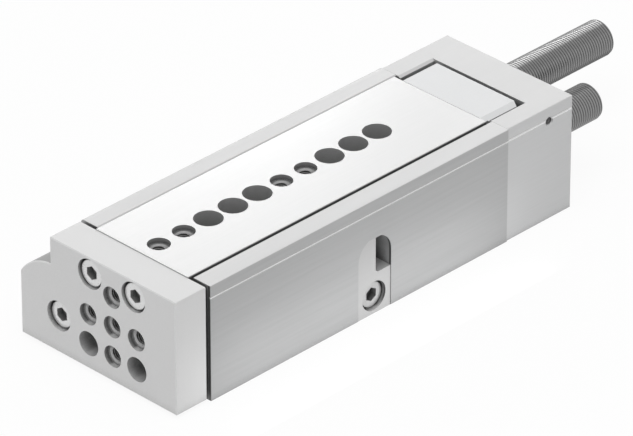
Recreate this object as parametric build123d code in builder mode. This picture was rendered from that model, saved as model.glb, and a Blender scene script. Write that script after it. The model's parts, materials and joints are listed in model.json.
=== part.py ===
from build123d import *
import os
from math import sqrt

# A pneumatic mini slide, in millimetres, in its retracted position.
# +X is the way the slide advances, +Y is the side with the stop block screw, +Z is up.
# The origin lies on the base face, midway along the housing, below the slide's row of holes.

# Housing section
body_height = 39.0
body_half_width = 26.75
lobe_reach = 39.5
shoulder_width = 15.0
shoulder_z = 13.3
shoulder_radius = 17.6
profile_edge_radius = 1.5
edge_break = 0.3
front_edge_break = 0.1
channel_depth = 13.0
channel_bevel = 0.4
side_line_drop = 3.85
profile_line_width = 0.5
block_line_width = 0.75

# Lengths along X
profile_length = 124.0
rear_wall = 13.5
slide_rear_setback = 1.4
plate_length = 14.7
plate_rear_gap = 1.7
stroke = 50.0
yoke_gap = 1.4
yoke_thickness = 12.1

# Slide table and its row of holes
slide_width = 38.0
slide_proud = 0.3
slide_gap = 0.6
slide_underside_gap = 0.6
slide_edge_break = 0.15
flange_thickness = 3.9
hole_pitch = 10.0
first_hole_setback = 7.0
threaded_holes = (0, 1, 5, 6)
access_holes = (2, 3, 4, 7, 8, 9)
access_radius = 4.5
centring_radius = 3.5
centring_depth = 1.6

# Ball guide
ball_radius = 2.0
ball_clearance = 0.04
ball_inset = 2.0
ball_pitch = 7.5
balls_per_side = 9
track_gap = 2.0
cage_thickness = 1.0
cage_height = 6.4
cage_hole_play = 0.05
cage_end = 4.0
cage_margin = 1.0
rail_width = 5.5
rail_height = 8.0
rail_end_setback = 1.0
rail_top_gap = 0.4

# Yoke plate
yoke_right_inset = 0.55
yoke_left_inset = 1.05
yoke_floor_gap = 1.0
cross_pitch = 10.0
yoke_bore_radius = 4.0
yoke_screw_y = 9.0
yoke_screw_drop = 5.8
yoke_thread_depth = 9.5

# Rear block and stop plate
block_right_inset = 0.4
block_left_inset = 1.3
recess_left = 17.95
recess_right_gap = 0.3
recess_bevel = 0.85
recess_bevel_drop = 0.6
plate_left = 15.35
plate_right = 19.2
plate_bevel = 2.8
plate_bevel_drop = 0.9
plate_corner = 1.5
left_leg_radius = 3.0
ring_radius = 7.2
leg_clearance = 0.4
side_hole_radius = 1.25
side_hole_edge = 0.4
side_hole_depth = 6.0
side_hole_setback = 18.3
side_hole_drop = 1.1

# Stop sleeves and stop block
sleeve_radius = 6.0
sleeve_fit = 0.05
sleeve_clearance = 0.4
sleeve_y = 12.0
sleeve_drop = 4.4
sleeve_chamfer = 0.4
retract_protrusion = 54.3
advance_protrusion = 23.1
buffer_radius = 4.0
buffer_length = 12.0
buffer_proud = 0.8
stop_gap = 0.2
advance_tip_proud = 0.4
stop_block_length = 9.4
stop_block_inner = 6.2
stop_web = 2.2
block_fit = 0.05
block_base_gap = 0.5
nut_across_flats = 17.0
nut_thickness = 5.0
nut_edge = 0.8

# Side pocket
pocket_width = 13.7
pocket_depth = 0.25
pocket_drop = 13.1
pocket_flat = 0.5
pocket_shift = 0.1
slot_width = 6.3
slot_bottom = 13.7
slot_corner = 1.4
stop_screw_z = 6.05
stop_screw_sink = 1.0

# Cylinder
cylinder_y = -22.4
cylinder_z = 13.5
bore_radius = 8.0
bore_fit = 0.03
rod_radius = 4.0
rod_clearance = 0.04
rear_cap_length = 20.0
piston_length = 20.0
piston_clearance = 0.1
piston_end_gap = 0.5
cap_setback = 2.3
ring_thickness = 1.1
ring_groove_depth = 0.6
ring_groove_setback = 1.2
bush_radius = 5.5
bush_length = 12.0
seal_radius = 6.5
seal_length = 4.0
o_ring_depth = 1.3
o_ring_width = 2.0
o_ring_setback = 6.0
piston_seal_depth = 2.4
piston_seal_width = 2.2
piston_seal_setback = 2.0
seal_lip = 0.06
magnet_width = 4.0
band_width = 3.0
spigot_radius = 2.5

# Fasteners: thread, thread core, clearance hole, head and socket of the metric sizes used
m5_radius = 2.5
m5_core_radius = 2.1
m5_clear_radius = 2.75
m5_head_radius = 4.25
m5_head_height = 5.0
m5_socket = 4.0
m5_lead_in = 0.45
m5_bore_radius = 4.9
m5_bore_depth = 5.7
m4_radius = 2.0
m4_core_radius = 1.65
m4_clear_radius = 2.25
m4_head_radius = 3.5
m4_head_height = 4.0
m4_socket = 3.0
m4_bore_radius = 3.7
m4_bore_depth = 4.4
socket_depth = 2.5
thread_fit = 0.03
rod_screw_sink = 0.4
rod_thread_depth = 8.0
plate_screw_y = 9.0
plate_screw_drop = 6.3
plate_screw_grip = 8.0
block_screw_grip = 9.0

# Holes in the base, ports and sensor slot
base_hole_spacing = 40.0
base_seat_z = 8.0
base_bore_radius = 4.75
base_thread_x = 30.0
base_thread_right = 15.0
base_thread_left = -35.0
base_thread_depth = 8.0
air_y = -33.5
air_z = 20.0
air_radius = 1.5
port_depth = 8.0
sensor_z = 13.5
sensor_mouth = 2.6
sensor_throat = 1.6
sensor_radius = 2.0
overcut = 1.0

# Stations along X
rear_block_length = plate_length - slide_rear_setback + plate_rear_gap + rear_wall
x_front = (profile_length + rear_block_length) / 2
x_seam = x_front - profile_length
x_rear = x_seam - rear_block_length
yoke_back = x_front + yoke_gap
yoke_front = yoke_back + yoke_thickness
slide_front = yoke_back
slide_rear = x_seam + slide_rear_setback
slide_length = slide_front - slide_rear
plate_rear = slide_rear - plate_length
recess_rear = plate_rear - plate_rear_gap
retract_tip = plate_rear - stop_gap
advance_tip = slide_rear + advance_tip_proud
stop_face = advance_tip + stroke + stop_gap
stop_block_x = stop_face + stop_block_length / 2
travel_front = slide_rear + stroke + leg_clearance
first_hole_x = slide_front - first_hole_setback
first_base_hole = first_hole_x - access_holes[0] * hole_pitch
base_holes = (first_base_hole, first_base_hole - base_hole_spacing)

# Levels and half widths
right_face = body_half_width
block_right = right_face - block_right_inset
shoulder_y = -lobe_reach + shoulder_width
channel_floor = body_height - channel_depth
slide_top = body_height + slide_proud
slide_bottom = channel_floor + slide_underside_gap
flange_bottom = slide_top - flange_thickness
slide_half = slide_width / 2
channel_half = slide_half + slide_gap
ball_y = slide_half - ball_inset
track_half = ball_y - track_gap / 2
rail_face = ball_y + track_gap / 2
rail_back = rail_face + rail_width
rail_top = flange_bottom - rail_top_gap
rail_bottom = rail_top - rail_height
guide_z = (rail_bottom + rail_top) / 2
track_radius = ball_radius + ball_clearance
sleeve_z = channel_floor - sleeve_drop
cross_z = body_height / 2
yoke_screw_z = slide_top - yoke_screw_drop
plate_screw_z = slide_top - plate_screw_drop
side_line_z = body_height - side_line_drop
side_hole_z = side_line_z - side_hole_drop
pocket_x = stop_block_x - pocket_shift
pocket_rear = pocket_x - pocket_width / 2
pocket_front = pocket_x + pocket_width / 2
pocket_top = body_height - pocket_drop
pocket_arc_z = pocket_top + pocket_flat - pocket_width / 2
screw_floor = right_face - pocket_depth
stop_screw_depth = m5_head_height + stop_screw_sink
stop_block_left = sleeve_y - stop_block_inner
stop_block_right = screw_floor - stop_screw_depth - stop_web

# Cylinder stations
front_cap_face = x_front - cap_setback
rear_cap_face = x_seam + rear_cap_length
piston_rear = rear_cap_face + piston_end_gap
piston_front = piston_rear + piston_length
front_cap_back = piston_front + stroke + piston_end_gap
cap_radius = bore_radius - bore_fit

# Corner screws of the rear block: across and up
block_screws = ((right_face - 4.5, 15.0), (right_face - 4.9, 6.0),
                (-lobe_reach + 6.0, 6.0), (shoulder_y - 4.5, shoulder_z + 11.0))


def plane_at(normal, x, y, z):
    return Plane(origin=(x, y, z), z_dir=normal)


FORWARD = (1, 0, 0)
BACKWARD = (-1, 0, 0)
RIGHT = (0, 1, 0)
LEFT = (0, -1, 0)
UP = (0, 0, 1)
DOWN = (0, 0, -1)


def area(low, high, bottom, top, mode=Mode.ADD):
    # A rectangle of the current sketch, given by its four sides.
    with Locations(((low + high) / 2, (bottom + top) / 2)):
        Rectangle(high - low, top - bottom, mode=mode)


def disc(across, up, radius, mode=Mode.ADD):
    with Locations((across, up)):
        Circle(radius, mode=mode)


def bar(x_low, x_high, outer, inner=0.0, y=cylinder_y, z=cylinder_z, mode=Mode.ADD):
    # A round bar or tube along X.
    with BuildSketch(Plane.YZ.offset(x_low)) as ring:
        disc(y, z, outer)
        if inner:
            disc(y, z, inner, Mode.SUBTRACT)
    extrude(ring.sketch, amount=x_high - x_low, mode=mode)


def body_outline(right, left, lobe, bottom, top, radius, corner):
    # The outline across X: a box with a rounded lobe low on the left.
    def shoulder(y):
        return shoulder_z + sqrt(radius**2 - (y - shoulder_y) ** 2)

    foot = (left, shoulder(left))
    hip = (lobe, shoulder(lobe))
    middle = (left + lobe) / 2
    with BuildSketch() as outline:
        with BuildLine():
            Polyline(hip, (lobe, bottom), (right, bottom), (right, top), (left, top), foot)
            ThreePointArc(foot, (middle, shoulder(middle)), hip)
        make_face()
        top_corners = outline.vertices().group_by(Axis.Y)[-1].sort_by(Axis.X)
        fillet(top_corners[0], corner)
        fillet(outline.vertices().group_by(Axis.Y)[-1].sort_by(Axis.X)[-1], edge_break)
        fillet(outline.vertices().group_by(Axis.Y)[0], edge_break)
    return outline.sketch


def side_line(face, width):
    # A fine groove along the near side: level above, sloping below.
    low = side_line_z - width
    with BuildSketch() as line:
        with BuildLine():
            Polyline((face + overcut, side_line_z), (face - width, side_line_z), (face, low),
                     (face + overcut, low), close=True)
        make_face()
    return line.sketch


def pocket_outline():
    # The side pocket: open at the base, its round head cut slightly flat on top.
    with BuildSketch() as pocket:
        area(pocket_rear, pocket_front, -overcut, pocket_arc_z)
        disc(pocket_x, pocket_arc_z, pocket_width / 2)
        area(pocket_rear, pocket_front, -overcut, pocket_top, Mode.INTERSECT)
    return pocket.sketch


def sensor_slot():
    # A slot for a sensor in the outer side of the lobe: narrow mouth, round inside.
    centre = -lobe_reach + sensor_throat + sensor_radius
    with BuildSketch() as slot:
        area(-lobe_reach - overcut, centre, sensor_z - sensor_mouth / 2, sensor_z + sensor_mouth / 2)
        disc(centre, sensor_z, sensor_radius)
    return slot.sketch


def leg_outline(clearance):
    # The two legs of the stop plate: one in front of each stop sleeve.
    with BuildSketch() as legs:
        for across, radius in ((sleeve_y, ring_radius), (-sleeve_y, left_leg_radius)):
            half = radius + clearance
            disc(across, sleeve_z, half)
            area(across - half, across + half, sleeve_z, slide_bottom)
    return legs.sketch


def slide_section():
    # Flange above, narrower body with the ball tracks below.
    with BuildSketch() as section:
        area(-slide_half, slide_half, flange_bottom, slide_top)
        area(-track_half, track_half, slide_bottom, flange_bottom)
        for side in (-1, 1):
            disc(side * ball_y, guide_z, track_radius, Mode.SUBTRACT)
    return section.sketch


def cap_screw(radius, length, head_radius, head_height, socket):
    # Socket head screw that points down, with the underside of its head at z = 0.
    with BuildPart() as screw:
        with BuildSketch():
            Circle(radius)
        extrude(amount=-length)
        chamfer(screw.edges().group_by(Axis.Z)[0], edge_break)
        with BuildSketch():
            Circle(head_radius)
        extrude(amount=head_height)
        chamfer(screw.edges().group_by(Axis.Z)[-1], edge_break)
        with BuildSketch(Plane.XY.offset(head_height)):
            RegularPolygon(socket / 2, 6, major_radius=False)
        extrude(amount=-socket_depth, mode=Mode.SUBTRACT)
    return screw.part


def m5_screw(length):
    return cap_screw(m5_radius, length, m5_head_radius, m5_head_height, m5_socket)


def m4_screw(length):
    return cap_screw(m4_radius, length, m4_head_radius, m4_head_height, m4_socket)


def centred_thread():
    # An M5 thread with a centring seat at its mouth and a lead-in below the seat.
    CounterBoreHole(m5_core_radius, centring_radius, centring_depth)
    with Locations((0, 0, -centring_depth)):
        CounterSinkHole(m5_core_radius, m5_core_radius + m5_lead_in, None, 90)


def finish(builder, name):
    builder.part.label = name
    export_step(builder.part, f"parts/{name}.step")


os.makedirs("parts", exist_ok=True)

# Housing profile: extruded section, then the pockets machined into it
with BuildPart() as housing_profile:
    with BuildSketch(Plane.YZ.offset(x_seam)):
        add(body_outline(right_face, -body_half_width, -lobe_reach, 0, body_height,
                         shoulder_radius, profile_edge_radius))
    extrude(amount=profile_length)
    chamfer(housing_profile.faces().sort_by(Axis.X)[-1].edges(), front_edge_break)
    # Channel, rail pockets, cylinder bore, air passage, side line and sensor slot
    with BuildSketch(Plane.YZ.offset(x_seam)):
        area(-channel_half, channel_half, channel_floor, body_height + overcut)
        with BuildLine():
            Polyline((-channel_half, body_height - channel_bevel), (channel_half, body_height - channel_bevel),
                     (channel_half + channel_bevel, body_height), (-channel_half - channel_bevel, body_height),
                     close=True)
        make_face()
        area(-rail_back, -rail_face, rail_bottom, rail_top)
        area(rail_face, rail_back, rail_bottom, rail_top)
        disc(cylinder_y, cylinder_z, bore_radius)
        disc(air_y, air_z, air_radius)
        add(side_line(right_face, profile_line_width))
        add(sensor_slot())
    extrude(amount=profile_length, mode=Mode.SUBTRACT)
    # Room for the legs of the stop plate over the whole stroke
    with BuildSketch(Plane.YZ.offset(x_seam)):
        add(leg_outline(leg_clearance))
    extrude(amount=travel_front - x_seam, mode=Mode.SUBTRACT)
    # Opening for the stop block, from below
    with BuildSketch(Plane.XY):
        area(travel_front - block_fit, stop_face + stop_block_length + block_fit,
             stop_block_left - block_fit, stop_block_right + block_fit)
    extrude(amount=slide_bottom, mode=Mode.SUBTRACT)
    # Side pocket and the deep slot in its upper rear part
    with BuildSketch(Plane.XZ.offset(-right_face)):
        add(pocket_outline())
    extrude(amount=pocket_depth, mode=Mode.SUBTRACT)
    with BuildSketch(Plane.XZ.offset(-right_face)) as slot_outline:
        add(pocket_outline())
        area(pocket_rear, pocket_rear + slot_width, slot_bottom, pocket_top, Mode.INTERSECT)
        fillet(slot_outline.vertices().group_by(Axis.Y)[0].sort_by(Axis.X)[-1], slot_corner)
    extrude(amount=right_face - stop_block_right, mode=Mode.SUBTRACT)
    with Locations(plane_at(RIGHT, stop_block_x, screw_floor, stop_screw_z)):
        CounterBoreHole(m5_clear_radius, m5_bore_radius, stop_screw_depth, screw_floor - stop_block_right)
    # Mounting holes through the floor of the channel, and threads in the base
    for hole_x in base_holes:
        with Locations(plane_at(UP, hole_x, 0, channel_floor)):
            CounterBoreHole(m5_clear_radius, base_bore_radius, channel_floor - base_seat_z,
                            channel_floor)
    for hole_x in (-base_thread_x, base_thread_x):
        for hole_y in (base_thread_left, base_thread_right):
            with Locations(plane_at(DOWN, hole_x, hole_y, 0)):
                Hole(m5_core_radius, base_thread_depth)
    # Threads for the rear block screws, retaining ring groove and air passage
    for across, up in block_screws:
        with Locations(plane_at(BACKWARD, x_seam, across, up)):
            Hole(m4_radius + thread_fit, block_screw_grip + overcut)
    groove_front = x_front - ring_groove_setback
    bar(groove_front - ring_thickness, groove_front, bore_radius + ring_groove_depth, mode=Mode.SUBTRACT)
finish(housing_profile, "housing_profile")

# Rear block: closes the housing and carries the stop sleeves
with BuildPart() as rear_block:
    with BuildSketch(Plane.YZ.offset(x_rear)):
        add(body_outline(block_right, -body_half_width + block_left_inset, -lobe_reach + block_left_inset,
                         0, body_height, shoulder_radius - block_left_inset, edge_break))
    extrude(amount=rear_block_length)
    chamfer(rear_block.faces().sort_by(Axis.X)[0].edges(), edge_break)
    chamfer(rear_block.faces().sort_by(Axis.X)[-1].edges(), edge_break / 2)
    with BuildSketch(Plane.YZ.offset(x_rear)):
        add(side_line(block_right, block_line_width))
        add(sensor_slot())
    extrude(amount=rear_block_length, mode=Mode.SUBTRACT)
    # Recess for the stop plate, open at the top and at the front
    with BuildSketch(Plane.YZ.offset(recess_rear)):
        area(-recess_left, plate_right + recess_right_gap, channel_floor, body_height + overcut)
        add(leg_outline(leg_clearance))
        with BuildLine():
            Polyline((-recess_left, body_height - recess_bevel_drop), (-recess_left, body_height + overcut),
                     (-recess_left - recess_bevel, body_height + overcut),
                     (-recess_left - recess_bevel, body_height), close=True)
        make_face()
    extrude(amount=x_seam - recess_rear, mode=Mode.SUBTRACT)
    # Threaded hole of the retract sleeve, with room for its nose, and clearance hole of the advance sleeve
    bar(x_rear, recess_rear, sleeve_radius + sleeve_fit, y=-sleeve_y, z=sleeve_z, mode=Mode.SUBTRACT)
    bar(recess_rear, plate_rear, sleeve_radius + sleeve_clearance, y=-sleeve_y, z=sleeve_z, mode=Mode.SUBTRACT)
    bar(x_rear, recess_rear, sleeve_radius + sleeve_clearance, y=sleeve_y, z=sleeve_z, mode=Mode.SUBTRACT)
    # Ports, air passages and screw holes in the rear face
    for across, up in ((cylinder_y, cylinder_z), (air_y, air_z)):
        with Locations(plane_at(BACKWARD, x_rear, across, up)):
            Hole(air_radius)
            Hole(m5_core_radius, port_depth)
    for across, up in block_screws:
        with Locations(plane_at(BACKWARD, x_rear, across, up)):
            CounterBoreHole(m4_clear_radius, m4_bore_radius, m4_bore_depth)
    with Locations(plane_at(RIGHT, x_seam - side_hole_setback, block_right, side_hole_z)):
        CounterSinkHole(side_hole_radius, side_hole_radius + side_hole_edge, side_hole_depth, 90)
finish(rear_block, "rear_block")

# Guide rails: each with a ball track, pressed into the side of the channel
for side, name in ((-1, "guide_rail_left"), (1, "guide_rail_right")):
    with BuildPart() as guide_rail:
        with BuildSketch(Plane.YZ.offset(x_seam + rail_end_setback)) as rail_section:
            area(min(side * rail_face, side * rail_back), max(side * rail_face, side * rail_back),
                 rail_bottom, rail_top)
            disc(side * ball_y, guide_z, track_radius, Mode.SUBTRACT)
            chamfer(rail_section.vertices().group_by(Axis.Y)[0], edge_break)
            chamfer(rail_section.vertices().group_by(Axis.Y)[-1], edge_break)
        extrude(amount=profile_length - 2 * rail_end_setback)
    finish(guide_rail, name)

# Ball cages: as long as the shortest overlap of slide and rails allows
cage_length = (balls_per_side - 1) * ball_pitch + 2 * cage_end
cage_front = x_front - rail_end_setback - cage_margin - stroke / 2
ball_stations = [cage_front - cage_end - index * ball_pitch for index in range(balls_per_side)]
for side, hand in ((-1, "left"), (1, "right")):
    with BuildPart() as ball_cage:
        with BuildSketch(Plane.XZ.offset(-side * ball_y - cage_thickness / 2)):
            area(cage_front - cage_length, cage_front, guide_z - cage_height / 2, guide_z + cage_height / 2)
            for ball_x in ball_stations:
                disc(ball_x, guide_z, ball_radius + cage_hole_play, Mode.SUBTRACT)
        extrude(amount=cage_thickness)
    finish(ball_cage, f"ball_cage_{hand}")
    with BuildPart() as balls:
        with Locations([(ball_x, side * ball_y, guide_z) for ball_x in ball_stations]):
            Sphere(ball_radius)
    finish(balls, f"balls_{hand}")

# Slide table
with BuildPart() as slide_table:
    with BuildSketch(Plane.YZ.offset(slide_rear)):
        add(slide_section())
    extrude(amount=slide_length)
    chamfer(slide_table.faces().sort_by(Axis.Z)[-1].edges(), slide_edge_break)
    with Locations([plane_at(UP, first_hole_x - index * hole_pitch, 0, slide_top) for index in threaded_holes]):
        centred_thread()
    with Locations([plane_at(UP, first_hole_x - index * hole_pitch, 0, slide_top) for index in access_holes]):
        Hole(access_radius)
    with Locations([plane_at(FORWARD, slide_front, side * yoke_screw_y, yoke_screw_z) for side in (-1, 1)]):
        Hole(m5_radius + thread_fit, yoke_thread_depth + overcut)
    with Locations([plane_at(BACKWARD, slide_rear, side * plate_screw_y, plate_screw_z) for side in (-1, 1)]):
        Hole(m4_radius + thread_fit, plate_screw_grip + overcut)
finish(slide_table, "slide_table")

# Stop plate on the slide's rear end, with a leg in front of each sleeve
with BuildPart() as stop_plate:
    with BuildSketch(Plane.YZ.offset(plate_rear)):
        area(-plate_left, track_half, slide_bottom, flange_bottom)
        with BuildLine():
            Polyline((-plate_left, flange_bottom), (plate_right, flange_bottom),
                     (plate_right, slide_top - plate_bevel_drop), (plate_right - plate_bevel, slide_top),
                     (-plate_left, slide_top), close=True)
        make_face()
        add(leg_outline(0))
    extrude(amount=plate_length)
    with BuildSketch(Plane.XY.offset(sleeve_z)):
        with BuildLine():
            Polyline((plate_rear - overcut, plate_right - plate_bevel), (plate_rear, plate_right - plate_bevel),
                     (plate_rear + plate_corner, plate_right), (plate_rear + plate_corner, plate_right + overcut),
                     (plate_rear - overcut, plate_right + overcut), close=True)
        make_face()
    extrude(amount=slide_top, mode=Mode.SUBTRACT)
    bar(plate_rear, slide_rear, sleeve_radius + sleeve_fit, y=sleeve_y, z=sleeve_z, mode=Mode.SUBTRACT)
    with Locations([plane_at(BACKWARD, plate_rear, side * plate_screw_y, plate_screw_z) for side in (-1, 1)]):
        CounterBoreHole(m4_clear_radius, m4_bore_radius, m4_bore_depth)
finish(stop_plate, "stop_plate")

# Stop sleeves: threaded outside, a buffer in the nose, a hexagon socket at the rear
for name, rear, tip, across in (("retract", x_rear - retract_protrusion, retract_tip, -sleeve_y),
                                ("advance", x_rear - advance_protrusion, advance_tip, sleeve_y)):
    nose = tip - buffer_proud
    with BuildPart() as stop_sleeve:
        bar(rear, nose, sleeve_radius, y=across, z=sleeve_z)
        chamfer(stop_sleeve.edges().group_by(Axis.X)[0], sleeve_chamfer)
        chamfer(stop_sleeve.edges().group_by(Axis.X)[-1], sleeve_chamfer)
        bar(tip - buffer_length, nose, buffer_radius, y=across, z=sleeve_z, mode=Mode.SUBTRACT)
        with BuildSketch(plane_at(BACKWARD, rear, across, sleeve_z)):
            RegularPolygon(nut_across_flats / 5, 6, major_radius=False)
        extrude(amount=-2 * socket_depth, mode=Mode.SUBTRACT)
    finish(stop_sleeve, f"{name}_stop_sleeve")
    with BuildPart() as stop_buffer:
        bar(tip - buffer_length, tip, buffer_radius - bore_fit, y=across, z=sleeve_z)
        chamfer(stop_buffer.edges().group_by(Axis.X)[-1], edge_break)
    finish(stop_buffer, f"{name}_buffer")

with BuildPart() as retract_lock_nut:
    with BuildSketch(Plane.YZ.offset(x_rear - nut_thickness)):
        with Locations((-sleeve_y, sleeve_z)):
            RegularPolygon(nut_across_flats / 2, 6, major_radius=False)
    extrude(amount=nut_thickness)
    with BuildSketch(Plane.YZ.offset(x_rear - nut_thickness)):
        with Locations((-sleeve_y, sleeve_z)):
            Circle(nut_across_flats / 2 + nut_edge)
    extrude(amount=nut_thickness, mode=Mode.INTERSECT)
    bar(x_rear - nut_thickness, x_rear, sleeve_radius + sleeve_fit, y=-sleeve_y, z=sleeve_z, mode=Mode.SUBTRACT)
finish(retract_lock_nut, "retract_lock_nut")

# Stop block, put in from below and clamped from the side
with BuildPart() as stop_block:
    with BuildSketch(Plane.XY.offset(block_base_gap)):
        area(stop_face, stop_face + stop_block_length, stop_block_left, stop_block_right)
    extrude(amount=channel_floor - block_base_gap)
    with Locations(plane_at(RIGHT, stop_block_x, stop_block_right, stop_screw_z)):
        Hole(m5_radius + thread_fit, stop_block_right - stop_block_left - overcut)
finish(stop_block, "stop_block")

with BuildPart() as stop_block_screw:
    seat_y = screw_floor - stop_screw_depth
    with Locations(plane_at(RIGHT, stop_block_x, seat_y, stop_screw_z)):
        add(m5_screw(seat_y - stop_block_left - 2 * overcut))
finish(stop_block_screw, "stop_block_screw")

# Yoke plate
with BuildPart() as yoke_plate:
    with BuildSketch(Plane.YZ.offset(yoke_back)):
        add(body_outline(right_face - yoke_right_inset, -body_half_width + yoke_left_inset,
                         -lobe_reach + yoke_left_inset, yoke_floor_gap, body_height,
                         shoulder_radius - yoke_left_inset, edge_break))
    extrude(amount=yoke_thickness)
    chamfer(yoke_plate.faces().sort_by(Axis.X)[-1].edges(), edge_break)
    with Locations(plane_at(FORWARD, yoke_front, 0, cross_z)):
        centred_thread()
        with PolarLocations(cross_pitch, 4):
            centred_thread()
    with Locations([plane_at(FORWARD, yoke_front, side * cross_pitch, cross_z - cross_pitch) for side in (-1, 1)]):
        Hole(yoke_bore_radius)
    with Locations([plane_at(FORWARD, yoke_front, side * yoke_screw_y, yoke_screw_z) for side in (-1, 1)]):
        CounterBoreHole(m5_clear_radius, m5_bore_radius, m5_bore_depth)
    with Locations(plane_at(FORWARD, yoke_front, cylinder_y, cylinder_z)):
        CounterBoreHole(m5_clear_radius, m5_bore_radius, m5_bore_depth + rod_screw_sink)
finish(yoke_plate, "yoke_plate")

with BuildPart() as yoke_screws:
    yoke_seat = yoke_front - m5_bore_depth
    with Locations([plane_at(FORWARD, yoke_seat, side * yoke_screw_y, yoke_screw_z) for side in (-1, 1)]):
        add(m5_screw(yoke_seat - yoke_back + yoke_thread_depth))
finish(yoke_screws, "yoke_screws")

with BuildPart() as rod_screw:
    rod_seat = yoke_seat - rod_screw_sink
    with Locations(plane_at(FORWARD, rod_seat, cylinder_y, cylinder_z)):
        add(m5_screw(rod_seat - yoke_back + rod_thread_depth))
finish(rod_screw, "rod_screw")

# Screws of the stop plate and of the rear block
with BuildPart() as stop_plate_screws:
    plate_seat = plate_rear + m4_bore_depth
    with Locations([plane_at(BACKWARD, plate_seat, side * plate_screw_y, plate_screw_z) for side in (-1, 1)]):
        add(m4_screw(slide_rear - plate_seat + plate_screw_grip))
finish(stop_plate_screws, "stop_plate_screws")

with BuildPart() as rear_block_screws:
    block_seat = x_rear + m4_bore_depth
    with Locations([plane_at(BACKWARD, block_seat, across, up) for across, up in block_screws]):
        add(m4_screw(x_seam - block_seat + block_screw_grip))
finish(rear_block_screws, "rear_block_screws")

# Piston rod with a threaded nose and a spigot that carries the piston
with BuildPart() as piston_rod:
    bar(piston_front, yoke_back, rod_radius)
    bar(piston_rear + piston_seal_setback, piston_front, spigot_radius)
    with Locations(plane_at(FORWARD, yoke_back, cylinder_y, cylinder_z)):
        Hole(m5_radius + thread_fit, rod_thread_depth + overcut)
finish(piston_rod, "piston_rod")

# Piston, with grooves for two seals, a magnet and a guide band
seal_inner = bore_radius - piston_seal_depth
seal_stations = (piston_rear + piston_seal_setback,
                 piston_front - piston_seal_setback - piston_seal_width)
magnet_rear = seal_stations[0] + piston_seal_width + piston_seal_setback / 2
band_rear = magnet_rear + magnet_width + piston_seal_setback / 2
with BuildPart() as piston:
    bar(piston_rear, piston_front, bore_radius - piston_clearance, spigot_radius + bore_fit)
    for groove_x in seal_stations:
        bar(groove_x, groove_x + piston_seal_width, bore_radius, seal_inner, mode=Mode.SUBTRACT)
    bar(magnet_rear, magnet_rear + magnet_width, bore_radius, seal_inner, mode=Mode.SUBTRACT)
    bar(band_rear, band_rear + band_width, bore_radius, bore_radius - o_ring_depth, mode=Mode.SUBTRACT)
    bar(piston_rear, piston_rear + m5_bore_depth, m5_bore_radius, mode=Mode.SUBTRACT)
finish(piston, "piston")

with BuildPart() as piston_seals:
    for groove_x in seal_stations:
        bar(groove_x, groove_x + piston_seal_width, bore_radius - seal_lip, seal_inner + bore_fit)
finish(piston_seals, "piston_seals")

with BuildPart() as piston_magnet:
    bar(magnet_rear, magnet_rear + magnet_width, bore_radius - piston_clearance, seal_inner + bore_fit)
finish(piston_magnet, "piston_magnet")

with BuildPart() as piston_guide_band:
    bar(band_rear, band_rear + band_width, bore_radius - seal_lip, bore_radius - o_ring_depth + bore_fit)
finish(piston_guide_band, "piston_guide_band")

with BuildPart() as piston_nut:
    with BuildSketch(Plane.YZ.offset(piston_rear + piston_seal_setback)):
        with Locations((cylinder_y, cylinder_z)):
            RegularPolygon(m5_socket, 6, major_radius=False)
            Circle(spigot_radius + bore_fit, mode=Mode.SUBTRACT)
    extrude(amount=m5_bore_depth - piston_seal_setback)
finish(piston_nut, "piston_nut")

# Front cylinder cap with its bush and seals
with BuildPart() as front_cap:
    bar(front_cap_back, front_cap_face, cap_radius, rod_radius + piston_clearance)
    bar(front_cap_face - seal_length, front_cap_face, seal_radius, mode=Mode.SUBTRACT)
    bar(front_cap_back, front_cap_back + bush_length, bush_radius, mode=Mode.SUBTRACT)
    o_ring_x = front_cap_back + o_ring_setback
    bar(o_ring_x, o_ring_x + o_ring_width, bore_radius, bore_radius - o_ring_depth, mode=Mode.SUBTRACT)
finish(front_cap, "cylinder_front_cap")

with BuildPart() as rod_seal:
    bar(front_cap_face - seal_length, front_cap_face, seal_radius - bore_fit, rod_radius + rod_clearance)
finish(rod_seal, "rod_seal")

with BuildPart() as rod_bush:
    bar(front_cap_back, front_cap_back + bush_length, bush_radius - bore_fit, rod_radius + rod_clearance)
finish(rod_bush, "rod_bush")

with BuildPart() as retaining_ring:
    bar(groove_front - ring_thickness, groove_front, bore_radius + ring_groove_depth - bore_fit,
        bore_radius - o_ring_depth)
    with BuildSketch(Plane.YZ.offset(groove_front - ring_thickness)):
        area(cylinder_y - m5_radius, cylinder_y + m5_radius, cylinder_z - 2 * bore_radius, cylinder_z)
    extrude(amount=ring_thickness, mode=Mode.SUBTRACT)
finish(retaining_ring, "retaining_ring")

# Rear cylinder cap, held between the bore and the rear block
rear_o_ring_x = rear_cap_face - o_ring_setback
with BuildPart() as rear_cap:
    bar(x_seam, rear_cap_face, cap_radius, air_radius)
    bar(rear_o_ring_x, rear_o_ring_x + o_ring_width, bore_radius, bore_radius - o_ring_depth,
        mode=Mode.SUBTRACT)
finish(rear_cap, "cylinder_rear_cap")

with BuildPart() as cap_o_rings:
    for ring_x in (o_ring_x, rear_o_ring_x):
        bar(ring_x, ring_x + o_ring_width, bore_radius - bore_fit, bore_radius - o_ring_depth + bore_fit)
finish(cap_o_rings, "cap_o_rings")
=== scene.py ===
import json
import math
from collections import namedtuple

import bmesh
import bpy
from mathutils import Matrix, Vector


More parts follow.
